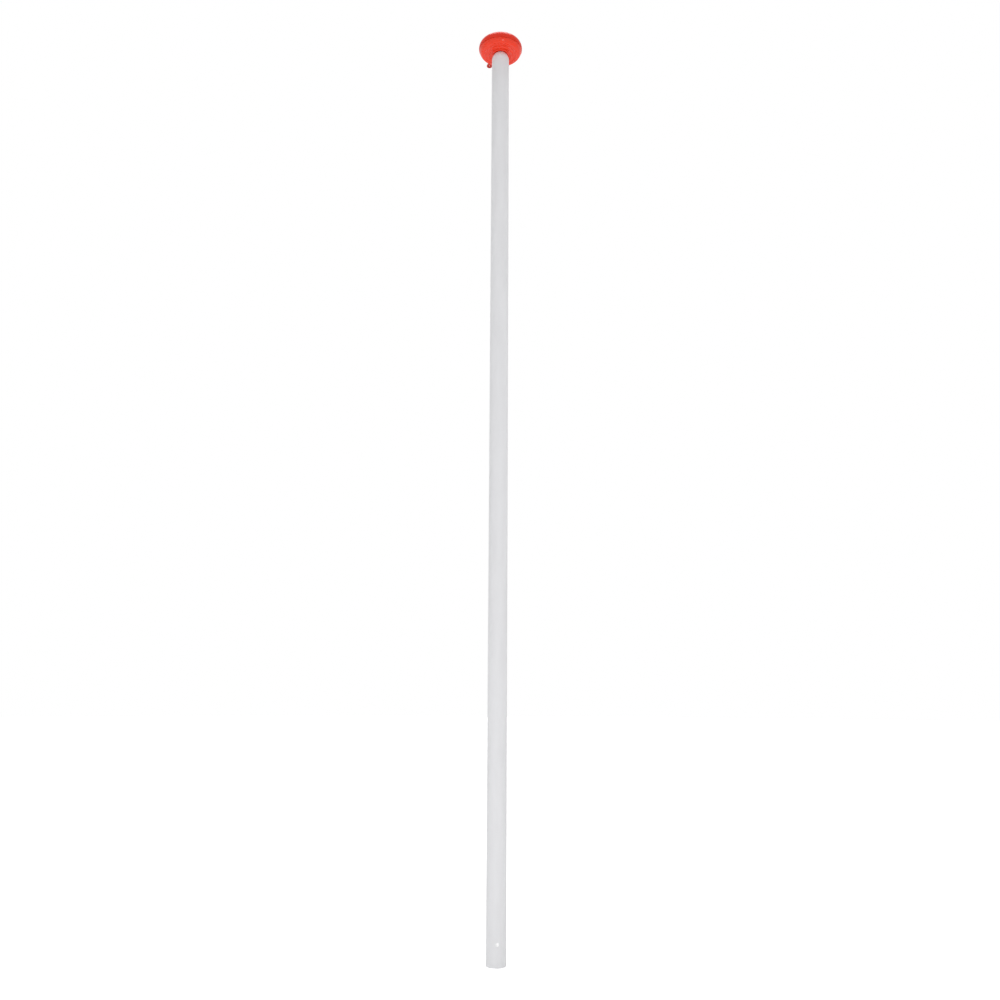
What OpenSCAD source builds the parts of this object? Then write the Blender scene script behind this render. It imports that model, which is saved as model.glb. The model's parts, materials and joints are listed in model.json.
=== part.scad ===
// Flagpole: a straight white pole with a domed top, a plug that closes its foot,
// and a moulded two-part cap on its top with an eye for the halyard.
// Millimetres, +Z up the pole. The origin is the centre of the face that the
// foot plug rests on, and the front foot bolt faces -Y.

/* [Pole] */
// Length of the pole's tube with its domed end
tube_length = 5985; // [2000:5:8000]
// Outside diameter of the tube, and of its domed end
tube_d = 120; // [116:1:122]
// Wall thickness of the tube
tube_wall = 4; // [3:0.5:6]

/* [Foot plug] */
// Thickness of the flange under the tube's end
flange_t = 15; // [8:1:30]
// Rounding of the flange's lower edge
flange_round = 2; // [1:0.5:7]
// Reach of the plug's skirt up inside the tube
skirt_h = 190; // [150:5:300]
// Wall thickness of the skirt
skirt_wall = 14; // [10:1:18]

/* [Foot bolts] */
// Height of the bolts above the resting face
bolt_z = 127; // [80:1:150]
// Diameter of a bolt's cup head
bolt_head_d = 21; // [18:0.5:24]
// Height of a bolt's cup head
bolt_head_h = 5.4; // [4:0.2:8]
// Diameter of a bolt's shank
bolt_shank_d = 8; // [6:1:12]
// Length of a bolt's shank
bolt_shank_l = 30; // [25:1:40]

/* [Cap dome] */
// Largest diameter of the cap
cap_d = 305; // [302:1:308]
// Height of the cap's widest line above the parting line
girth_z = 14; // [12:1:18]
// Rise of the dome above its widest line
dome_rise = 87; // [70:1:95]
// Radius of the dome's rounded shoulder
shoulder_r = 50; // [40:1:55]
// Radius of the cap's lower rounding, where the dome's lip begins it
lip_r = 46; // [42:1:60]
// Height of the lip's lower edge above the parting line
lip_z = 1.4; // [1:0.2:4]

/* [Cap underside] */
// Height of the parting line above the pole's shoulder, where its domed end begins
rim_above_shoulder = 77; // [75:1:80]
// Wall thickness of the cap's two mouldings
cap_wall = 5; // [4:0.5:5.5]
// Largest radius of the underside's rounding
under_r = 149; // [147:0.5:149]
// Radius of the underside's rounding
under_round = 45; // [42:1:46]
// Height of the rounding's centre above the parting line
under_round_z = 6; // [5:1:12]
// Depth of the underside's flat plate below the parting line
plate_z = 30; // [28:1:32]
// Middle radius of each half-round ridge on the plate
ridge_r = [112, 81, 50]; // [48:1:114]
// Radius of the ridges' rounding
ridge_round = 5; // [4:0.5:6]
// How far the ridges stand proud of the plate
ridge_proud = 3.5; // [2:0.5:4]
// Radius of the boss that seats on the pole's domed end
boss_r = 46; // [42:1:60]
// Thickness of the boss over the top of the pole
boss_cover = 10; // [6:1:12]
// Radius of the stud that reaches down through the domed end
stud_r = 15; // [10:1:18]
// Reach of the stud below the top of the pole
stud_l = 60; // [30:1:90]

/* [Halyard eye] */
// Direction of the eye round the pole, anticlockwise from +X seen from above
eye_turn = 110; // [0:1:359]
// Distance of the eye's hole from the pole's axis
eye_reach = 175; // [172:1:190]
// Outside diameter of the eye
eye_d = 38; // [34:1:42]
// Diameter of the eye's hole
eye_hole_d = 16; // [12:1:20]
// Thickness of the eye
eye_t = 12; // [8:1:12]

/* [Hidden] */
$fn = 120;

// Clearances all round: plug in tube, bolt in hole, domed end in its seat, rim wall in
// the dome's lip, stud in its hole
fit_gap = 0.25;
bolt_gap = 0.25;
seat_gap = 0.3;
rim_gap = 0.4;
stud_gap = 0.5;

tube_r = tube_d / 2;
bore_r = tube_r - tube_wall;
skirt_r = bore_r - fit_gap;
shoulder_z = flange_t + tube_length - tube_r;
rim_z = shoulder_z + rim_above_shoulder;
cap_r = cap_d / 2;
under_x = under_r - under_round;
// The underside's rim wall stands this far up inside the dome's lip, under a ledge, and
// it roots this far down into the rounding
rim_wall_h = 18;
rim_wall_root = 3;
ledge_t = 5;
lip_bore_r = cap_r - cap_wall - 1;
boss_h = plate_z - (rim_above_shoulder - tube_r) + boss_cover;
// The eye's lower face lies this far below the parting line
eye_drop = 13;
white = [0.87, 0.87, 0.88];
red = [0.90, 0.22, 0.13];

// Half profile of the underside's rounded outer part, drawn in by shrink
module rounding_profile(shrink) {
  intersection() {
    translate([under_x, under_round_z]) circle(under_round - shrink);
    translate([under_x, shrink - plate_z]) square([under_round, plate_z - shrink]);
  }
}

// Half profile of a ridge on the plate
module ridge_profile(r) {
  low_z = -plate_z - ridge_proud;
  intersection() {
    translate([r, low_z + ridge_round]) circle(ridge_round);
    translate([r - ridge_round, low_z]) square([2 * ridge_round, ridge_proud + cap_wall / 2]);
  }
}

// Half profile of the dome above its widest line, drawn in by shrink: a shallow
// crown and a round shoulder that meet in a common tangent
module dome_profile(shrink) {
  shoulder_x = cap_r - shoulder_r;
  crown_r = (shoulder_x ^ 2 + dome_rise ^ 2 - shoulder_r ^ 2) / (2 * (dome_rise - shoulder_r));
  crown_z = dome_rise - crown_r;
  meet_x = shoulder_x * crown_r / (crown_r - shoulder_r);
  meet_z = crown_z - crown_z * crown_r / (crown_r - shoulder_r);
  intersection() {
    translate([0, crown_z]) circle(crown_r - shrink);
    square([meet_x, cap_r]);
  }
  intersection() {
    translate([shoulder_x, 0]) circle(shoulder_r - shrink);
    square([cap_r, cap_r]);
  }
  square([shoulder_x, meet_z - shrink]);
}

module bolt_holes() {
  for (side = [-1, 1])
    translate([0, 0, bolt_z]) rotate([side * 90, 0, 0])
      cylinder(h = tube_d, r = bolt_shank_d / 2 + bolt_gap);
}

module foot_bolt() {
  head_r = (bolt_head_d ^ 2 / 4 + bolt_head_h ^ 2) / (2 * bolt_head_h);
  color(white) translate([0, 0, bolt_z]) rotate([90, 0, 0]) {
    translate([0, 0, tube_r]) rotate_extrude() intersection() {
      translate([0, bolt_head_h - head_r]) circle(head_r);
      square([bolt_head_d / 2, bolt_head_h]);
    }
    translate([0, 0, tube_r - bolt_shank_l])
      cylinder(h = bolt_shank_l, d = bolt_shank_d);
  }
}

module pole_tube() {
  color(white) difference() {
    union() {
      translate([0, 0, flange_t]) cylinder(h = tube_length - tube_r, r = tube_r);
      translate([0, 0, shoulder_z]) sphere(tube_r);
    }
    translate([0, 0, flange_t - 1]) cylinder(h = tube_length - tube_r + 1, r = bore_r);
    translate([0, 0, shoulder_z]) sphere(bore_r);
    translate([0, 0, shoulder_z]) cylinder(h = tube_d, r = stud_r + stud_gap);
    bolt_holes();
  }
}

module foot_plug() {
  color(white) difference() {
    union() {
      rotate_extrude() {
        square([tube_r - flange_round, flange_t]);
        translate([0, flange_round]) square([tube_r, flange_t - flange_round]);
        translate([tube_r - flange_round, flange_round]) circle(flange_round);
      }
      cylinder(h = flange_t + skirt_h, r = skirt_r);
    }
    translate([0, 0, flange_t]) cylinder(h = skirt_h + 1, r = skirt_r - skirt_wall);
    bolt_holes();
  }
}

module foot_bolt_front() {
  foot_bolt();
}

module foot_bolt_back() {
  rotate([0, 0, 180]) foot_bolt();
}

// The eye's flat lug, from inside the rounded outer part out round the hole
module halyard_eye() {
  root_r = under_r - 2 * cap_wall;
  translate([eye_reach, 0, 0]) cylinder(h = eye_t, d = eye_d);
  translate([root_r, -eye_d / 2, 0]) cube([eye_reach - root_r, eye_d, eye_t]);
}

module cap_underside() {
  wall_r = lip_bore_r - rim_gap;
  color(red) translate([0, 0, rim_z]) difference() {
    union() {
      rotate_extrude() {
        difference() {
          rounding_profile(0);
          rounding_profile(cap_wall);
        }
        translate([0, -plate_z]) square([under_x + 1, cap_wall]);
        for (r = ridge_r)
          ridge_profile(r);
        translate([wall_r - cap_wall, -rim_wall_root])
          square([cap_wall, rim_wall_root + rim_wall_h]);
      }
      translate([0, 0, -plate_z]) cylinder(h = boss_h, r = boss_r);
      rotate([0, 0, eye_turn]) translate([0, 0, -eye_drop]) halyard_eye();
    }
    translate([0, 0, -rim_above_shoulder]) sphere(tube_r + seat_gap);
    rotate([0, 0, eye_turn]) translate([eye_reach, 0, -eye_drop - 1])
      cylinder(h = eye_t + 2, d = eye_hole_d);
  }
  color(red) translate([0, 0, shoulder_z + tube_r - stud_l])
    cylinder(h = stud_l + boss_cover / 2, r = stud_r);
}

module cap_dome() {
  lip_low = lip_z - girth_z;
  ledge_z = rim_wall_h - girth_z;
  color(red) translate([0, 0, rim_z + girth_z]) rotate_extrude() {
    difference() {
      dome_profile(0);
      dome_profile(cap_wall);
    }
    difference() {
      intersection() {
        translate([cap_r - lip_r, 0]) circle(lip_r);
        translate([cap_r - lip_r, lip_low]) square([lip_r, -lip_low]);
      }
      translate([0, lip_low - 1]) square([lip_bore_r, cap_d]);
    }
    translate([lip_bore_r - cap_wall, ledge_z]) square([cap_wall + 1, ledge_t]);
  }
}

pole_tube();
foot_plug();
foot_bolt_front();
foot_bolt_back();
cap_underside();
cap_dome();
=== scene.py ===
"""A white glass-fibre flagpole with a red cap, seen by a person who stands near its foot.

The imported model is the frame: every size and place comes from its boxes or from a named
field of the piece that uses it. Everything is in metres, +Z up the pole.
"""

import json
import logging
import math
from dataclasses import dataclass
from enum import Enum

import bmesh
import bpy
from mathutils import Matrix, Vector

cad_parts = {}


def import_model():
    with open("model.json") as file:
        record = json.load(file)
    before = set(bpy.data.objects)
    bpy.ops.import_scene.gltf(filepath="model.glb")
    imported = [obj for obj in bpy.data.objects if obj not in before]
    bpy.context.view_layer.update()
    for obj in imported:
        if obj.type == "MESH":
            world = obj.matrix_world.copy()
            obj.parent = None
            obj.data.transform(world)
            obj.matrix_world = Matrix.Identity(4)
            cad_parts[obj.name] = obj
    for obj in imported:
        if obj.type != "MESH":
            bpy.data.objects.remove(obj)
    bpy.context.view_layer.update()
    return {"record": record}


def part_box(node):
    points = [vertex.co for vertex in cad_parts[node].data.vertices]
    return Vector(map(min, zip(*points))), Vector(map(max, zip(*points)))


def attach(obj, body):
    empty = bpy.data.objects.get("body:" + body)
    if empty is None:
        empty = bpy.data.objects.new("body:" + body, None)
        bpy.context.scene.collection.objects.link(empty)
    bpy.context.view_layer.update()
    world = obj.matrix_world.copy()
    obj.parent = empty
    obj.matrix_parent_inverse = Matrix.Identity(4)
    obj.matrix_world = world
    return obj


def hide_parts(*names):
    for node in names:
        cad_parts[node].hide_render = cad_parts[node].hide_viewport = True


LOG = logging.getLogger("flagpole")
MM = 0.001
BODY = "root"
# Points of a mesh closer than the first are one point, edges of a mesh shorter than the second
# are taken out, and so are straight runs of an outline shorter than the third.
MERGE_WITHIN = 0.004 * MM
SHORTEST_EDGE = 0.001 * MM
SHORTEST_RUN = 0.01 * MM
# Largest turn between two points of a corner's rounding.
ROUNDING_STEP = math.radians(11)

Point = tuple[float, float]
Colour = tuple[float, float, float, float]


class Slot(Enum):
    """The record's material slots, one named with each piece."""

    TUBE = "white_tube"
    PLUG = "white_plug"
    BOLT = "white_bolt"
    CAP = "red_cap"


# ---------------------------------------------------------------- nodes and colours


def linear(hex_colour: str) -> Colour:
    """Turns an sRGB hex colour to linear.

    Args:
        hex_colour: Six hex digits after a hash.

    Returns:
        Linear red, green and blue, and an alpha of 1.
    """
    channels = [int(hex_colour[i : i + 2], 16) / 255 for i in (1, 3, 5)]
    curve = [c / 12.92 if c <= 0.04045 else ((c + 0.055) / 1.055) ** 2.4 for c in channels]
    return (curve[0], curve[1], curve[2], 1.0)


def add_node(
    tree: bpy.types.NodeTree, kind: str, inputs: dict | None = None, **settings: object
) -> bpy.types.Node:
    """Adds one node to a tree, with its settings, constants and links.

    Args:
        tree: The material, world or geometry tree.
        kind: The node's type name.
        inputs: Socket name or number to a constant, or to the output socket that feeds it.
        **settings: Attributes that are set on the node before its sockets are filled.

    Returns:
        The new node.
    """
    made = tree.nodes.new(kind)
    for name, value in settings.items():
        setattr(made, name, value)
    for key, value in (inputs or {}).items():
        if isinstance(value, bpy.types.NodeSocket):
            tree.links.new(value, made.inputs[key])
        else:
            made.inputs[key].default_value = value
    return made


def spread(
    tree: bpy.types.NodeTree, noise: bpy.types.NodeSocket, low: float, high: float
) -> bpy.types.NodeSocket:
    """Spreads a noise value, most of which lies between 0.3 and 0.7, over a band of values.

    Args:
        tree: The material's tree.
        noise: The noise's output.
        low: Result at the noise's low end.
        high: Result at the noise's high end.

    Returns:
        The socket that carries the result.
    """
    band = {"Value": noise, "From Min": 0.3, "From Max": 0.7, "To Min": low, "To Max": high}
    return add_node(tree, "ShaderNodeMapRange", band).outputs["Result"]


# ---------------------------------------------------------------- finishes


@dataclass(frozen=True)
class Grain:
    """Unevenness with a real feature size, longer along the pole by its stretch."""

    feature: float
    stretch: float = 1.0
    detail: float = 3.0

    def noise(self, tree: bpy.types.NodeTree) -> bpy.types.NodeSocket:
        """Adds the noise on Object coordinates.

        Args:
            tree: The material's tree.

        Returns:
            The noise's value, around 0.5.
        """
        place = add_node(tree, "ShaderNodeTexCoord")
        scaled = add_node(
            tree,
            "ShaderNodeMapping",
            {"Vector": place.outputs["Object"], "Scale": (1.0, 1.0, 1.0 / self.stretch)},
        )
        noise = add_node(
            tree,
            "ShaderNodeTexNoise",
            {
                "Vector": scaled.outputs["Vector"],
                "Scale": 1.0 / self.feature,
                "Detail": self.detail,
            },
        )
        return noise.outputs["Fac"]


@dataclass(frozen=True)
class Finish:
    """A glossy or satin surface: two close tints, a band of roughness and a fine relief."""

    name: str
    tint: str
    second_tint: str
    tint_grain: Grain
    roughness: Point
    rough_grain: Grain
    relief: float
    relief_grain: Grain
    specular: float
    ior: float = 1.5

    def material(self) -> bpy.types.Material:
        """Builds the material.

        Returns:
            The material, which is built once however many pieces wear it.
        """
        if self.name in bpy.data.materials:
            return bpy.data.materials[self.name]
        material = bpy.data.materials.new(self.name)
        material.use_nodes = True
        tree = material.node_tree
        tree.nodes.clear()
        tints = add_node(
            tree, "ShaderNodeValToRGB", {"Fac": spread(tree, self.tint_grain.noise(tree), 0.0, 1.0)}
        )
        tints.color_ramp.elements[0].color = linear(self.tint)
        tints.color_ramp.elements[1].color = linear(self.second_tint)
        bump = add_node(
            tree,
            "ShaderNodeBump",
            {"Height": self.relief_grain.noise(tree), "Distance": self.relief},
        )
        shader = add_node(
            tree,
            "ShaderNodeBsdfPrincipled",
            {
                "Base Color": tints.outputs["Color"],
                "Roughness": spread(tree, self.rough_grain.noise(tree), *self.roughness),
                "Normal": bump.outputs["Normal"],
                "IOR": self.ior,
                "Specular IOR Level": self.specular,
            },
        )
        add_node(tree, "ShaderNodeOutputMaterial", {"Surface": shader.outputs["BSDF"]})
        return material


# White gelcoat over glass fibre, sprayed or spun on and left as it sets: the eye sees an even
# cool white with a soft gloss, a faint waviness of some centimetres along the pole where the
# fibre layers print through, and hardly any colour change. Its specular level is low, because
# the surround is white on all sides and its reflection would bleach the tube's edges.
GELCOAT = Finish(
    name="white_gelcoat_on_glass_fibre",
    tint="#E5E5E7",
    second_tint="#E0E0E2",
    tint_grain=Grain(feature=60 * MM, stretch=6.0),
    roughness=(0.30, 0.40),
    rough_grain=Grain(feature=25 * MM, stretch=3.0),
    relief=0.10 * MM,
    relief_grain=Grain(feature=18 * MM, stretch=3.0, detail=1.0),
    specular=0.06,
)

# Injection-moulded white polyethylene: a duller, slightly waxy white beside the gelcoat, with
# the fine even texture of the mould, drawn at 2 mm, which is coarser than the real one.
PLUG_PLASTIC = Finish(
    name="white_moulded_polyethylene",
    tint="#E6E6E8",
    second_tint="#E1E1E3",
    tint_grain=Grain(feature=20 * MM),
    roughness=(0.45, 0.55),
    rough_grain=Grain(feature=6 * MM),
    relief=0.08 * MM,
    relief_grain=Grain(feature=2 * MM, detail=1.0),
    specular=0.4,
    ior=1.51,
)

# Zinc-plated steel with a white stoved paint: a hard bright gloss that catches the lamp, and paint
# that is a little thicker in some places, as an orange peel of about 1.5 mm. Its near-white tint,
# brighter than the tube's white, is partly painted highlight: it makes the whole head read as a
# glint.
STOVED_PAINT_AND_PAINTED_GLINT = Finish(
    name="white_stoved_paint_with_painted_glint",
    tint="#F8F8F8",
    second_tint="#F3F3F4",
    tint_grain=Grain(feature=8 * MM),
    roughness=(0.10, 0.16),
    rough_grain=Grain(feature=3 * MM),
    relief=0.04 * MM,
    relief_grain=Grain(feature=1.5 * MM, detail=1.0),
    specular=0.6,
)

# Orange-red ABS, moulded in a polished tool: a strong even colour under a clear gloss, with
# slight flow marks in the tint and a very low waviness where the walls shrank.
UNDERSIDE_PLASTIC = Finish(
    name="orange_red_moulded_abs",
    tint="#EC3B20",
    second_tint="#E8391F",
    tint_grain=Grain(feature=70 * MM, stretch=0.6),
    roughness=(0.13, 0.18),
    rough_grain=Grain(feature=20 * MM),
    relief=0.12 * MM,
    relief_grain=Grain(feature=22 * MM, detail=1.0),
    specular=0.30,
)

# The same ABS on the side that faces the sky: sun and rain have taken off the top of its gloss, so
# it catches lamps less sharply. Its deeper, more even red is painted shade: a darker copy of the
# underside's tint that stands for the shade on the cap's upper band. Its specular level is low for
# the same reason as the gelcoat's.
DOME_PLASTIC_PAINTED_SHADE = Finish(
    name="orange_red_abs_with_painted_shade",
    tint="#E23B29",
    second_tint="#DD3827",
    tint_grain=Grain(feature=70 * MM, stretch=0.6),
    roughness=(0.15, 0.20),
    rough_grain=Grain(feature=20 * MM),
    relief=0.12 * MM,
    relief_grain=Grain(feature=22 * MM, detail=1.0),
    specular=0.09,
)

# The halyard eye is the same ABS again, with little gloss. Its browner, darker red is painted
# shade: a darker copy of the cap's tint for the shade the eye sits in under the cap's rim.
EYE_PLASTIC_PAINTED_SHADE = Finish(
    name="orange_red_abs_with_painted_shade_under_rim",
    tint="#C23423",
    second_tint="#A82C1E",
    tint_grain=Grain(feature=9 * MM),
    roughness=(0.28, 0.40),
    rough_grain=Grain(feature=5 * MM),
    relief=0.05 * MM,
    relief_grain=Grain(feature=2 * MM, detail=1.0),
    specular=0.12,
)


# ---------------------------------------------------------------- outlines


def arc(centre: Point, radius: float, start: float, end: float, step: float = 5.0) -> list[Point]:
    """Points along an arc of a half outline.

    Args:
        centre: The arc's centre, as distance from the axis and height.
        radius: The arc's radius.
        start: Where it starts, in degrees from straight outwards, upwards positive.
        end: Where it ends.
        step: Largest turn between two points, in degrees.

    Returns:
        The points, both ends included.
    """
    count = max(2, math.ceil(abs(end - start) / step) + 1)
    turns = [math.radians(start + (end - start) * i / (count - 1)) for i in range(count)]
    return [(centre[0] + radius * math.cos(t), centre[1] + radius * math.sin(t)) for t in turns]


def rounded(before: Point, corner: Point, after: Point, radius: float) -> list[Point]:
    """Rounds one corner of an outline.

    Args:
        before: The corner before it.
        corner: The corner itself.
        after: The corner after it.
        radius: The rounding's radius.

    Returns:
        The points along the rounding.
    """
    here = Vector(corner)
    back = (Vector(before) - here).normalized()
    on = (Vector(after) - here).normalized()
    half = back.angle(on) / 2
    centre = here + (back + on).normalized() * (radius / math.sin(half))
    reach = radius / math.tan(half)
    first = here + back * reach - centre
    last = here + on * reach - centre
    sweep = math.copysign(math.pi - 2 * half, first.x * last.y - first.y * last.x)
    steps = max(2, math.ceil(abs(sweep) / ROUNDING_STEP))
    points = []
    for i in range(steps + 1):
        turn = sweep * i / steps
        points.append(
            (
                centre.x + first.x * math.cos(turn) - first.y * math.sin(turn),
                centre.y + first.x * math.sin(turn) + first.y * math.cos(turn),
            )
        )
    return points


class Outline:
    """A half outline that turns about the pole's axis: corners with roundings, and arcs."""

    def __init__(self, guard: float = 0.5 * MM, longest: float = 0.25) -> None:
        """Starts an empty outline.

        Args:
            guard: Distance from a straight run's ends at which a ring holds its shading.
            longest: Longest straight run between two rings.
        """
        self.guard = guard
        self.longest = longest
        self.corners: list[tuple[Point, float]] = []

    def to(self, r: float, z: float, rounding: float = 0.0) -> "Outline":
        """Adds a corner, and returns the outline."""
        self.corners.append(((r, z), rounding))
        return self

    def along(self, points: list[Point]) -> "Outline":
        """Adds the points of an arc, and returns the outline."""
        self.corners.extend((p, 0.0) for p in points)
        return self

    def points(self) -> list[Point]:
        """Works out the outline's points.

        Returns:
            The points in order, with roundings, guard rings and long runs cut up.
        """
        raw: list[Point] = []
        last = len(self.corners) - 1
        for i, (corner, rounding) in enumerate(self.corners):
            if rounding > 0 and 0 < i < last:
                raw += rounded(self.corners[i - 1][0], corner, self.corners[i + 1][0], rounding)
            else:
                raw.append(corner)
        made = [raw[0]]
        for start, end in zip(raw, raw[1:], strict=False):
            run = math.dist(start, end)
            if run < SHORTEST_RUN:
                continue
            cuts = [1.0]
            if run > 5 * self.guard:
                inner = max(1, math.ceil(run / self.longest))
                edge = self.guard / run
                cuts = [edge, *(i / inner for i in range(1, inner)), 1 - edge, 1.0]
            made += [
                (start[0] + (end[0] - start[0]) * c, start[1] + (end[1] - start[1]) * c)
                for c in cuts
            ]
        return made


# ---------------------------------------------------------------- geometry trees


class TreeBuilder:
    """A Geometry Nodes tree with named inputs, which is run once to give a plain mesh."""

    def __init__(self, name: str) -> None:
        """Starts a tree with one geometry in and one out.

        Args:
            name: The tree's name.
        """
        self.tree = bpy.data.node_groups.new(name, "GeometryNodeTree")
        self.sockets: dict[str, str] = {}
        for side in ("INPUT", "OUTPUT"):
            self.tree.interface.new_socket(
                "Geometry", in_out=side, socket_type="NodeSocketGeometry"
            )

    def input(self, name: str, kind: str) -> None:
        """Adds a named input of a socket kind, such as Float, Int or Material."""
        made = self.tree.interface.new_socket(name, in_out="INPUT", socket_type=f"NodeSocket{kind}")
        self.sockets[name] = made.identifier

    def group_in(self) -> bpy.types.NodeOutputs:
        """Adds the group's input node, and returns its sockets."""
        return add_node(self.tree, "NodeGroupInput").outputs

    def end(self, geometry: bpy.types.NodeSocket, material: bpy.types.NodeSocket) -> None:
        """Ends the tree in real, smooth geometry that wears the material.

        Args:
            geometry: What the tree has made.
            material: The socket that carries the material.
        """
        smooth = add_node(self.tree, "GeometryNodeSetShadeSmooth", {"Geometry": geometry})
        real = add_node(self.tree, "GeometryNodeRealizeInstances", {"Geometry": smooth.outputs[0]})
        dressed = add_node(
            self.tree,
            "GeometryNodeSetMaterial",
            {"Geometry": real.outputs[0], "Material": material},
        )
        add_node(self.tree, "NodeGroupOutput", {0: dressed.outputs[0]})

    def run(
        self, name: str, start: bpy.types.Mesh, **values: float | bpy.types.Material
    ) -> bpy.types.Object:
        """Runs the tree on a mesh.

        Args:
            name: The finished piece's name.
            start: The mesh that goes in.
            **values: Named input to its value, with _ for a space in the name.

        Returns:
            The piece: a plain mesh at the origin, closed and facing outwards.
        """
        carrier = bpy.data.objects.new(name + "_start", start)
        bpy.context.scene.collection.objects.link(carrier)
        modifier = carrier.modifiers.new("tree", "NODES")
        modifier.node_group = self.tree
        for key, value in values.items():
            modifier[self.sockets[key.replace("_", " ")]] = value
        graph = bpy.context.evaluated_depsgraph_get()
        mesh = bpy.data.meshes.new_from_object(carrier.evaluated_get(graph), depsgraph=graph)
        bpy.data.objects.remove(carrier)
        return finished(name, mesh)


def finished(name: str, mesh: bpy.types.Mesh) -> bpy.types.Object:
    """Merges a mesh's doubles, turns its faces outwards and puts it in the scene.

    Args:
        name: The piece's name.
        mesh: Its mesh, with its place in its vertices.

    Returns:
        The piece, at the origin.
    """
    shell = bmesh.new()
    shell.from_mesh(mesh)
    bmesh.ops.remove_doubles(shell, verts=shell.verts, dist=MERGE_WITHIN)
    bmesh.ops.dissolve_degenerate(shell, edges=shell.edges, dist=SHORTEST_EDGE)
    bmesh.ops.recalc_face_normals(shell, faces=shell.faces)
    shell.to_mesh(mesh)
    shell.free()
    mesh.name = name
    for polygon in mesh.polygons:
        polygon.use_smooth = True
    piece = bpy.data.objects.new(name, mesh)
    bpy.context.scene.collection.objects.link(piece)
    return piece


def outline_mesh(outline: Outline) -> bpy.types.Mesh:
    """Makes a chain of edges of an outline, for a tree to turn about the axis.

    Args:
        outline: The half outline, from axis to axis or closed on itself.

    Returns:
        The chain, distances from the axis along X and heights along Y.
    """
    points = outline.points()
    mesh = bpy.data.meshes.new("outline")
    edges = [(i, i + 1) for i in range(len(points) - 1)]
    mesh.from_pydata([(r, z, 0.0) for r, z in points], edges, [])
    return mesh


def turning_tree() -> TreeBuilder:
    """Builds the tree that turns a half outline about the pole's axis, as a lathe or mould does.

    Returns:
        The tree, with the inputs Segments and Finish.
    """
    made = TreeBuilder("turned_shape")
    made.input("Segments", "Int")
    made.input("Finish", "Material")
    tree = made.tree
    given = made.group_in()
    chain = add_node(tree, "GeometryNodeMeshToCurve", {"Mesh": given["Geometry"]})
    ring = add_node(
        tree,
        "GeometryNodeCurvePrimitiveCircle",
        {"Resolution": given["Segments"], "Radius": 1.0},
        mode="RADIUS",
    )
    # The chain is swept along a circle of one metre, whose sweep turns heights over.
    from_ring = add_node(
        tree,
        "GeometryNodeTransform",
        {
            "Geometry": chain.outputs["Curve"],
            "Translation": (-1.0, 0.0, 0.0),
            "Scale": (1.0, -1.0, 1.0),
        },
    )
    swept = add_node(
        tree,
        "GeometryNodeCurveToMesh",
        {"Curve": ring.outputs["Curve"], "Profile Curve": from_ring.outputs["Geometry"]},
    )
    made.end(swept.outputs["Mesh"], given["Finish"])
    return made


def bolting_tree() -> TreeBuilder:
    """Builds the tree that sets like bolts evenly round the pole.

    Returns:
        The tree, with the inputs Count, Pole radius, Height, First turn and Finish.
    """
    made = TreeBuilder("bolts_round_the_pole")
    made.input("Count", "Int")
    for name in ("Pole radius", "Height", "First turn"):
        made.input(name, "Float")
    made.input("Finish", "Material")
    tree = made.tree
    given = made.group_in()
    index = add_node(tree, "GeometryNodeInputIndex").outputs["Index"]
    share = add_node(tree, "ShaderNodeMath", {0: index, 1: given["Count"]}, operation="DIVIDE")
    turn = add_node(
        tree,
        "ShaderNodeMath",
        {0: share.outputs[0], 1: math.tau, 2: given["First turn"]},
        operation="MULTIPLY_ADD",
    )
    across = add_node(tree, "ShaderNodeMath", {0: turn.outputs[0]}, operation="COSINE")
    along = add_node(tree, "ShaderNodeMath", {0: turn.outputs[0]}, operation="SINE")
    outwards = add_node(
        tree, "ShaderNodeCombineXYZ", {"X": across.outputs[0], "Y": along.outputs[0]}
    )
    level = add_node(
        tree,
        "ShaderNodeVectorMath",
        {0: outwards.outputs[0], "Scale": given["Pole radius"]},
        operation="SCALE",
    )
    lift = add_node(tree, "ShaderNodeCombineXYZ", {"Z": given["Height"]})
    place = add_node(
        tree, "ShaderNodeVectorMath", {0: level.outputs[0], 1: lift.outputs[0]}, operation="ADD"
    )
    spots = add_node(
        tree, "GeometryNodePoints", {"Count": given["Count"], "Position": place.outputs[0]}
    )
    aim = add_node(
        tree, "FunctionNodeAlignRotationToVector", {"Vector": outwards.outputs[0]}, axis="Z"
    )
    bolts = add_node(
        tree,
        "GeometryNodeInstanceOnPoints",
        {"Points": spots.outputs[0], "Instance": given["Geometry"], "Rotation": aim.outputs[0]},
    )
    made.end(bolts.outputs["Instances"], given["Finish"])
    return made


# ---------------------------------------------------------------- the flagpole's pieces


def settle(piece: bpy.types.Object, slot: Slot, *nodes: str) -> None:
    """Lets a piece ride with the pole and stand for its nodes, and reports it.

    Args:
        piece: The finished piece.
        slot: The record's slot for the piece's finish; not used.
        *nodes: The nodes that it stands for.
    """
    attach(piece, BODY)
    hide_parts(*nodes)
    LOG.info("%s: %d faces, for %s", piece.name, len(piece.data.polygons), ", ".join(nodes))


@dataclass
class TurnedPart:
    """A sub-assembly that is turned about the pole's axis by a shared tree."""

    turning: TreeBuilder

    def turned(
        self, name: str, outline: Outline, finish: Finish, segments: int
    ) -> bpy.types.Object:
        """Turns an outline about the pole's axis.

        Args:
            name: The piece's name.
            outline: Its half outline.
            finish: What it wears.
            segments: How many faces it has round the axis.

        Returns:
            The piece.
        """
        return self.turning.run(
            name, outline_mesh(outline), Segments=segments, Finish=finish.material()
        )


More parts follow.
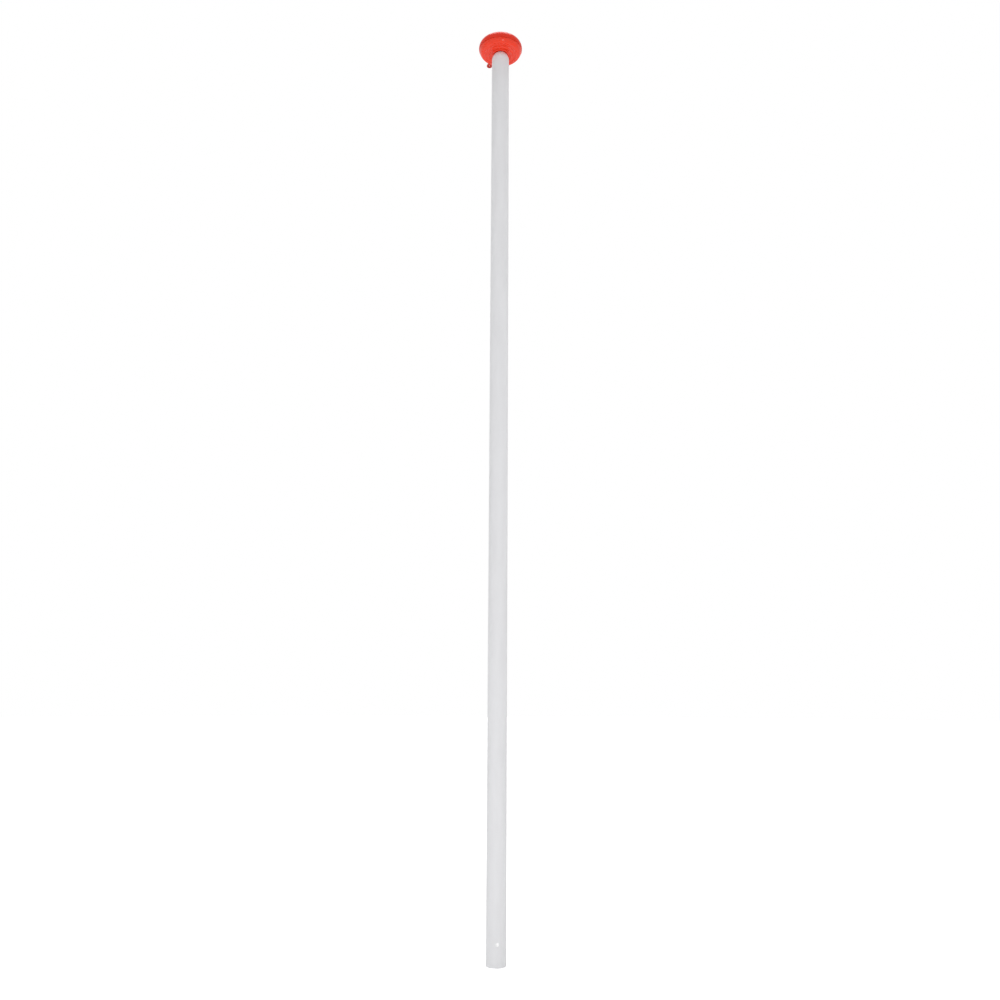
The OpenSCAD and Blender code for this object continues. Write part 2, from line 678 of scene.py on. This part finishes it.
@dataclass
class PoleTube(TurnedPart):
    """The tube with its domed end, a shell of laminate with a hole for the cap's stud."""

    wall: float = 4 * MM
    hole_r: float = 15.5 * MM
    end_rounding: float = 1.2 * MM
    segments: int = 128

    def build(self) -> None:
        """Turns the shell's outline: out at the foot, up, over the dome and down the bore."""
        low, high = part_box("pole_tube")
        tube_r = high.x
        bore_r = tube_r - self.wall
        shoulder_z = high.z - math.sqrt(tube_r**2 - self.hole_r**2)
        outside = math.degrees(math.acos(self.hole_r / tube_r))
        inside = math.degrees(math.acos(self.hole_r / bore_r))
        half_way = (bore_r, shoulder_z / 2)
        outline = Outline().to(*half_way).to(bore_r, low.z).to(tube_r, low.z, self.end_rounding)
        outline.along(arc((0.0, shoulder_z), tube_r, 0.0, outside, 3.0))
        outline.along(arc((0.0, shoulder_z), bore_r, inside, 0.0, 3.0)).to(*half_way)
        piece = self.turned("pole_shell", outline, GELCOAT, self.segments)
        settle(piece, Slot.TUBE, "pole_tube")


@dataclass
class FootPlug(TurnedPart):
    """The plug that closes the foot: a flange as wide as the tube, and a skirt up its bore."""

    skirt_gap: float = 0.25 * MM
    tube_wall: float = 4 * MM
    skirt_wall: float = 14 * MM
    lower_rounding: float = 2 * MM
    upper_rounding: float = 1.2 * MM
    skirt_rounding: float = 1 * MM
    floor_rounding: float = 2 * MM
    segments: int = 128

    def build(self) -> None:
        """Turns the plug's outline, from the middle of its resting face round to its floor."""
        low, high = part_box("foot_plug")
        flange_r = high.x
        flange_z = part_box("pole_tube")[0].z
        skirt_r = flange_r - self.tube_wall - self.skirt_gap
        well_r = skirt_r - self.skirt_wall
        outline = Outline().to(0.0, low.z).to(flange_r, low.z, self.lower_rounding)
        outline.to(flange_r, flange_z, self.upper_rounding).to(skirt_r, flange_z)
        outline.to(skirt_r, high.z, self.skirt_rounding).to(well_r, high.z, self.skirt_rounding)
        outline.to(well_r, flange_z, self.floor_rounding).to(0.0, flange_z)
        piece = self.turned("foot_plug_moulding", outline, PLUG_PLASTIC, self.segments)
        settle(piece, Slot.PLUG, "foot_plug")


@dataclass
class FootBolts:
    """Two cup-head bolts, one on each side of the foot."""

    bolting: TreeBuilder
    shank_r: float = 4 * MM
    crown_hub: float = 0.6 * MM
    bedding: float = 0.95 * MM
    chamfer: float = 1 * MM
    segments: int = 48

    def build(self) -> None:
        """Makes one bolt and sets it twice round the pole."""
        low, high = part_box("foot_bolt_front")
        pole_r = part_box("pole_tube")[1].x
        head_r = (high.z - low.z) / 2
        bolt = self.bolt(head_r, -low.y - pole_r, pole_r + high.y)
        piece = self.bolting.run(
            "foot_bolts",
            bolt,
            Count=2,
            Pole_radius=pole_r,
            Height=(low.z + high.z) / 2,
            First_turn=-math.pi / 2,
            # The near-white paint is partly painted highlight, for the head's glint.
            Finish=STOVED_PAINT_AND_PAINTED_GLINT.material(),
        )
        settle(piece, Slot.BOLT, "foot_bolt_front", "foot_bolt_back")

    def bolt(self, head_r: float, head_h: float, shank_l: float) -> bpy.types.Mesh:
        """Makes one bolt that stands on the pole's side at the origin, with its head up +Z.

        Args:
            head_r: The head's radius.
            head_h: The head's height.
            shank_l: How far the shank reaches in.

        Returns:
            The bolt's mesh.
        """
        crown_r = (head_r**2 + head_h**2) / (2 * head_h)
        crown_z = head_h - crown_r
        start = math.degrees(math.acos(self.crown_hub / crown_r))
        end = math.degrees(math.asin(-crown_z / crown_r))
        rings = arc((0.0, crown_z), crown_r, start, end, 6.0)
        rings += [(head_r, -self.bedding), (self.shank_r, -self.bedding)]
        rings += [(self.shank_r, -shank_l + self.chamfer), (self.shank_r - self.chamfer, -shank_l)]
        shell = bmesh.new()
        loops = [self.ring(shell, *ring) for ring in rings]
        for lower, upper in zip(loops, loops[1:], strict=False):
            for i in range(self.segments):
                j = (i + 1) % self.segments
                shell.faces.new((lower[i], lower[j], upper[j], upper[i]))
        shell.faces.new(loops[0])
        shell.faces.new(loops[-1])
        mesh = bpy.data.meshes.new("bolt")
        shell.to_mesh(mesh)
        shell.free()
        return mesh

    def ring(self, shell: bmesh.types.BMesh, radius: float, z: float) -> list[bmesh.types.BMVert]:
        """Adds one ring of points to the mesh that is being made.

        Args:
            shell: The mesh.
            radius: The ring's radius.
            z: The ring's height.

        Returns:
            The ring's points in order.
        """
        turns = [math.tau * i / self.segments for i in range(self.segments)]
        return [shell.verts.new((radius * math.cos(t), radius * math.sin(t), z)) for t in turns]


@dataclass
class CapUnderside(TurnedPart):
    """The cap's lower moulding: a flat plate with three ridges, a rounded edge and a stud."""

    wall: float = 5 * MM
    round_r: float = 45 * MM
    round_z: float = 6 * MM
    plate_z: float = 30 * MM
    plate_rounding: float = 8 * MM
    ridge_at: tuple[float, ...] = (50 * MM, 81 * MM, 112 * MM)
    ridge_r: float = 5 * MM
    ridge_proud: float = 3.5 * MM
    root_rounding: float = 1.2 * MM
    rim_wall_h: float = 18 * MM
    rim_wall_inset: float = 6.4 * MM
    boss_r: float = 46 * MM
    boss_cover: float = 10 * MM
    seat_gap: float = 0.3 * MM
    stud_r: float = 15 * MM
    tip_rounding: float = 2 * MM
    wall_rounding: float = 0.8 * MM
    boss_rounding: float = 1 * MM
    segments: int = 192

    def build(self) -> None:
        """Turns the outline, from the stud's tip out, round the rim and in to the boss."""
        low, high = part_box("cap_underside")
        seat_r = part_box("pole_tube")[1].x + self.seat_gap
        rim_z = high.z - self.rim_wall_h
        plate = rim_z - self.plate_z
        edge_r = -low.x
        centre = (edge_r - math.sqrt(self.round_r**2 - self.round_z**2), rim_z + self.round_z)
        stud_turn = math.degrees(math.acos(self.stud_r / seat_r))
        plate_turn = math.degrees(math.asin((plate - low.z) / seat_r))
        seat = arc((0.0, low.z), seat_r, stud_turn, plate_turn, 1.0)
        outline = Outline().to(0.0, low.z).to(self.stud_r, low.z, self.tip_rounding).along(seat)
        for at in self.ridge_at:
            self.ridge(outline, at, plate)
        self.edge(outline, centre, plate, rim_z)
        self.inside(outline, centre, plate, high.z)
        boss_z = low.z + seat_r + self.boss_cover
        outline.to(self.boss_r, plate + self.wall, self.boss_rounding)
        outline.to(self.boss_r, boss_z, self.boss_rounding).to(0.0, boss_z)
        piece = self.turned("cap_underside_moulding", outline, UNDERSIDE_PLASTIC, self.segments)
        settle(piece, Slot.CAP, "cap_underside")

    def ridge(self, outline: Outline, at: float, plate: float) -> None:
        """Adds one half-round ridge, with a small fillet at each of its roots.

        Args:
            outline: The moulding's outline so far.
            at: The ridge's middle radius.
            plate: Height of the plate's lower face.
        """
        below = self.ridge_r - self.ridge_proud + self.root_rounding
        between = self.ridge_r + self.root_rounding
        aside = math.sqrt(between**2 - below**2)
        lean = math.degrees(math.asin(below / between))
        root_z = plate - self.root_rounding
        top = (at, plate + self.ridge_r - self.ridge_proud)
        outline.along(arc((at - aside, root_z), self.root_rounding, 90.0, lean, 20.0))
        outline.along(arc(top, self.ridge_r, 180.0 + lean, 360.0 - lean, 10.0)[1:])
        outline.along(arc((at + aside, root_z), self.root_rounding, 180.0 - lean, 90.0, 20.0)[1:])

    def edge(self, outline: Outline, centre: Point, plate: float, rim_z: float) -> None:
        """Adds the large rounding, from the plate out to the parting line.

        Args:
            outline: The moulding's outline so far.
            centre: Centre of the rounding.
            plate: Height of the plate's lower face.
            rim_z: Height of the parting line.
        """
        drop = centre[1] - plate - self.plate_rounding
        reach = math.sqrt((self.round_r - self.plate_rounding) ** 2 - drop**2)
        tangent = -math.degrees(math.atan2(drop, reach))
        small = (centre[0] + reach, plate + self.plate_rounding)
        last = math.degrees(math.asin((rim_z - centre[1]) / self.round_r))
        outline.along(arc(small, self.plate_rounding, -90.0, tangent, 8.0))
        outline.along(arc(centre, self.round_r, tangent, last, 3.0)[1:])

    def inside(self, outline: Outline, centre: Point, plate: float, top_z: float) -> None:
        """Adds the rim wall and the hollow inside of the rounding.

        Args:
            outline: The moulding's outline so far.
            centre: Centre of the rounding.
            plate: Height of the plate's lower face.
            top_z: Height of the rim wall's top.
        """
        rim_z = top_z - self.rim_wall_h
        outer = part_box("cap_dome")[1].x - self.rim_wall_inset
        inner = outer - self.wall
        hollow = self.round_r - self.wall
        start = -math.degrees(math.acos((inner - centre[0]) / hollow))
        end = -math.degrees(math.asin((centre[1] - plate - self.wall) / hollow))
        outline.to(outer, rim_z)
        outline.to(outer, top_z, self.wall_rounding).to(inner, top_z, self.wall_rounding)
        outline.along(arc(centre, hollow, start, end))


@dataclass
class HalyardEye:
    """The lug with a hole for the halyard, moulded with the cap's underside."""

    mounts: list[dict]
    rounding: float = 2.5 * MM
    fillet: float = 8 * MM
    root: float = 39 * MM
    fillet_at: float = 25 * MM
    hole_step: float = 7.5
    bevel_steps: int = 5
    shading_weight: int = 90

    def build(self) -> None:
        """Fills the lug's plan between its edge and its hole, and places it at its mount."""
        mount = next(m for m in self.mounts if m["name"] == "halyard_eye")
        place = Vector(mount["pos_m"])
        hole_r = mount["dims"]["r_mm"] * MM
        thick = mount["dims"]["length_mm"] * MM
        outer_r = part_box("cap_underside")[1].y - place.y
        curve = bpy.data.curves.new("halyard_eye", "CURVE")
        curve.dimensions = "2D"
        curve.fill_mode = "BOTH"
        curve.bevel_depth = self.rounding
        curve.bevel_resolution = self.bevel_steps
        curve.extrude = thick / 2 - self.rounding
        curve.offset = -self.rounding
        self.spline(curve, self.edge(outer_r))
        self.spline(curve, arc((0.0, 0.0), hole_r, 0.0, 360.0 - self.hole_step, self.hole_step))
        carrier = bpy.data.objects.new("halyard_eye_plan", curve)
        bpy.context.scene.collection.objects.link(carrier)
        graph = bpy.context.evaluated_depsgraph_get()
        mesh = bpy.data.meshes.new_from_object(carrier.evaluated_get(graph), depsgraph=graph)
        bpy.data.objects.remove(carrier)
        turn = math.atan2(place.y, place.x)
        mesh.transform(Matrix.Translation(place) @ Matrix.Rotation(turn, 4, "Z"))
        mesh.materials.clear()
        # The lug's darker red is painted shade, for the shade under the cap's rim.
        mesh.materials.append(EYE_PLASTIC_PAINTED_SHADE.material())
        piece = finished("halyard_eye_lug", mesh)
        even = piece.modifiers.new("even_shading", "WEIGHTED_NORMAL")
        even.weight = self.shading_weight
        settle(piece, Slot.CAP, "cap_underside")

    def edge(self, outer_r: float) -> list[Point]:
        """Draws the lug's plan, with +X away from the pole and the hole at the origin.

        Args:
            outer_r: Radius of the lug's round end.

        Returns:
            The plan's points, anticlockwise.
        """
        side = outer_r + self.fillet
        right = arc((-self.fillet_at, -side), self.fillet, 180.0, 90.0, 10.0)
        left = arc((-self.fillet_at, side), self.fillet, 270.0, 180.0, 10.0)
        end = arc((0.0, 0.0), outer_r, -90.0, 90.0, 6.0)
        return [(-self.root, -side), *right, *end, *left, (-self.root, side)]

    def spline(self, curve: bpy.types.Curve, points: list[Point]) -> None:
        """Adds a closed line to the curve.

        Args:
            curve: The lug's flat curve.
            points: The line's points in order.
        """
        line = curve.splines.new("POLY")
        line.points.add(len(points) - 1)
        for at, (x, y) in zip(line.points, points, strict=True):
            at.co = (x, y, 0.0, 1.0)
        line.use_cyclic_u = True


@dataclass
class CapDome(TurnedPart):
    """The cap's upper moulding: a shallow crown, a round shoulder and a lip over the seam."""

    wall: float = 5 * MM
    rise: float = 87 * MM
    shoulder_r: float = 50 * MM
    lip_r: float = 46 * MM
    lip_wall: float = 6 * MM
    lip_rounding: float = 1.2 * MM
    lip_start: float = -2.0
    lip_share: float = 0.86
    ledge: Point = (4 * MM, 9 * MM)
    segments: int = 192

    def build(self) -> None:
        """Turns the dome's outline, from its crown down to the lip and back up inside."""
        low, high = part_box("cap_dome")
        girth_z = high.z - self.rise
        lip_centre = (high.x - self.lip_r, girth_z)
        lip_turn = math.degrees(math.asin((low.z - girth_z) / self.lip_r))
        edge_r = lip_centre[0] + self.lip_r * math.cos(math.radians(lip_turn))
        bore_r = high.x - self.lip_wall
        ledge_r = bore_r - self.wall
        ledge_low, ledge_high = (girth_z + z for z in self.ledge)
        outline = self.crown(high.x, girth_z, 0.0)
        outline.along(
            arc(lip_centre, self.lip_r, self.lip_start, lip_turn * self.lip_share, 2.5)
        )
        outline.to(edge_r, low.z, self.lip_rounding).to(bore_r, low.z, self.lip_rounding / 2)
        outline.to(bore_r, ledge_low).to(ledge_r, ledge_low)
        outline.to(ledge_r, ledge_high).to(bore_r, ledge_high)
        inside = self.crown(high.x, girth_z, self.wall).corners
        above = ledge_high + self.wall / 4
        outline.along([point for point, _ in reversed(inside) if point[1] > above])
        # The dome's deeper red is painted shade, for the shade on the cap's upper band.
        piece = self.turned("cap_dome_moulding", outline, DOME_PLASTIC_PAINTED_SHADE, self.segments)
        settle(piece, Slot.CAP, "cap_dome")

    def crown(self, cap_r: float, girth_z: float, inset: float) -> Outline:
        """Draws the crown and the shoulder, which meet in a common tangent.

        Args:
            cap_r: The cap's largest radius.
            girth_z: Height of its widest line.
            inset: How far inside the outer face the line runs.

        Returns:
            An outline from the axis out to the widest line.
        """
        shoulder_x = cap_r - self.shoulder_r
        drop = self.rise - self.shoulder_r
        crown_r = (shoulder_x**2 + self.rise**2 - self.shoulder_r**2) / (2 * drop)
        crown_z = girth_z + self.rise - crown_r
        meet = math.degrees(math.atan2(girth_z - crown_z, shoulder_x))
        outline = Outline().along(arc((0.0, crown_z), crown_r - inset, 90.0, meet, 2.0))
        shoulder = arc((shoulder_x, girth_z), self.shoulder_r - inset, meet, 0.0, 3.0)
        return outline.along(shoulder[1:])


# ---------------------------------------------------------------- studio


@dataclass
class Viewpoint:
    """Where a standing person looks at the pole from, and how the camera is held."""

    eye_height: float = 1.557
    distance: float = 5.991
    side_turn: float = -7.0
    aim_up: float = 11.460
    aim_left: float = -0.105
    roll: float = 0.261
    lens: float = 34.34
    sight: float = 500.0

    def build(self) -> None:
        """Makes the scene's camera, with everything sharp and no shift."""
        camera = bpy.data.cameras.new("standing_view")
        camera.lens = self.lens
        camera.clip_end = self.sight
        holder = bpy.data.objects.new("standing_view", camera)
        turn = math.radians(self.side_turn)
        place = Vector((math.sin(turn), -math.cos(turn), 0.0)) * self.distance
        place.z = self.eye_height
        heading = Matrix.Rotation(turn + math.radians(self.aim_left), 4, "Z")
        lift = Matrix.Rotation(math.radians(90.0 + self.aim_up), 4, "X")
        tilt = Matrix.Rotation(math.radians(self.roll), 4, "Z")
        holder.matrix_world = Matrix.Translation(place) @ heading @ lift @ tilt
        bpy.context.scene.collection.objects.link(holder)
        bpy.context.scene.camera = holder


@dataclass(frozen=True)
class Lamp:
    """A round soft lamp that faces the middle of the pole.

    It stands at an angle in degrees round the pole from the camera, right positive.
    """

    name: str
    power: float
    aside: float
    distance: float
    height: float
    width: float

    def build(self, camera_turn: float) -> None:
        """Sets the lamp.

        Args:
            camera_turn: How far round the pole the camera stands, in degrees.
        """
        lamp = bpy.data.lights.new(self.name, "AREA")
        lamp.shape = "DISK"
        lamp.size = self.width
        lamp.energy = self.power
        turn = math.radians(camera_turn + self.aside)
        place = Vector((math.sin(turn), -math.cos(turn), 0.0)) * self.distance
        place.z = self.height
        facing = Vector((0.0, 0.0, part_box("pole_tube")[1].z / 2)) - place
        holder = bpy.data.objects.new(self.name, lamp)
        aim = facing.to_track_quat("-Z", "Y").to_matrix().to_4x4()
        holder.matrix_world = Matrix.Translation(place) @ aim
        bpy.context.scene.collection.objects.link(holder)


LOW_LAMP = Lamp("low_lamp", power=6.0, aside=-24.0, distance=2.4, height=0.4, width=1.0)
SMALL_LAMP = Lamp("small_lamp", power=42.0, aside=14.0, distance=6.0, height=3.0, width=0.5)


@dataclass
class Studio:
    """A pale floor, a white surround and soft lamps at a plain level."""

    view: Viewpoint
    ambience: float = 0.51
    overhead: float = 1.95
    overhead_softness: float = 50.0
    floor_r: float = 60.0
    floor_segments: int = 96
    floor_glow: float = 0.3
    paper: str = "#F3F3F3"

    def build(self) -> None:
        """Sets up the surround, the lamps and the floor."""
        self.surround()
        self.lamps()
        self.floor()

    def surround(self) -> None:
        """Makes the world: white where it is seen or reflected, softer as a light."""
        world = bpy.data.worlds.new("white_surround")
        world.use_nodes = True
        tree = world.node_tree
        tree.nodes.clear()
        rays = add_node(tree, "ShaderNodeLightPath").outputs
        mirrored = add_node(
            tree,
            "ShaderNodeMath",
            {0: rays["Is Glossy Ray"], 1: rays["Is Transmission Ray"]},
            operation="MAXIMUM",
        )
        seen = add_node(
            tree,
            "ShaderNodeMath",
            {0: rays["Is Camera Ray"], 1: mirrored.outputs[0]},
            operation="MAXIMUM",
        )
        white = linear("#FFFFFF")
        light = add_node(tree, "ShaderNodeBackground", {"Color": white, "Strength": self.ambience})
        backdrop = add_node(tree, "ShaderNodeBackground", {"Color": white, "Strength": 1.0})
        both = add_node(
            tree,
            "ShaderNodeMixShader",
            {0: seen.outputs[0], 1: light.outputs[0], 2: backdrop.outputs[0]},
        )
        add_node(tree, "ShaderNodeOutputWorld", {"Surface": both.outputs[0]})
        bpy.context.scene.world = world

    def lamps(self) -> None:
        """Hangs a broad overhead light, and sets the soft lamps in front of the pole."""
        overhead = bpy.data.lights.new("overhead", "SUN")
        overhead.energy = self.overhead
        overhead.angle = math.radians(self.overhead_softness)
        bpy.context.scene.collection.objects.link(bpy.data.objects.new("overhead", overhead))
        for lamp in (LOW_LAMP, SMALL_LAMP):
            lamp.build(self.view.side_turn)

    def floor(self) -> None:
        """Lays the pale floor, which reads white and keeps the foot's soft shadow."""
        material = bpy.data.materials.new("white_studio_paper")
        material.use_nodes = True
        tree = material.node_tree
        tree.nodes.clear()
        paper = add_node(tree, "ShaderNodeBsdfDiffuse", {"Color": linear(self.paper)})
        seen = add_node(tree, "ShaderNodeLightPath").outputs["Is Camera Ray"]
        glow = add_node(tree, "ShaderNodeMath", {0: seen, 1: self.floor_glow}, operation="MULTIPLY")
        lift = add_node(tree, "ShaderNodeEmission", {"Strength": glow.outputs[0]})
        both = add_node(tree, "ShaderNodeAddShader", {0: paper.outputs[0], 1: lift.outputs[0]})
        add_node(tree, "ShaderNodeOutputMaterial", {"Surface": both.outputs[0]})
        sheet = bmesh.new()
        bmesh.ops.create_circle(
            sheet, cap_ends=True, segments=self.floor_segments, radius=self.floor_r
        )
        mesh = bpy.data.meshes.new("studio_floor")
        sheet.to_mesh(mesh)
        sheet.free()
        mesh.materials.append(material)
        floor = bpy.data.objects.new("studio_floor", mesh)
        bpy.context.scene.collection.objects.link(floor)


def main() -> None:
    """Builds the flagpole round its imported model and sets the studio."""
    logging.basicConfig(level=logging.INFO, format="%(name)s: %(message)s")
    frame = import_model()
    view = Viewpoint()
    view.build()
    turning = turning_tree()
    PoleTube(turning).build()
    FootPlug(turning).build()
    FootBolts(bolting_tree()).build()
    CapUnderside(turning).build()
    HalyardEye(frame["record"]["mounts"]).build()
    CapDome(turning).build()
    Studio(view).build()
    bpy.context.scene.view_settings.view_transform = "Standard"


if __name__ == "__main__":
    main()
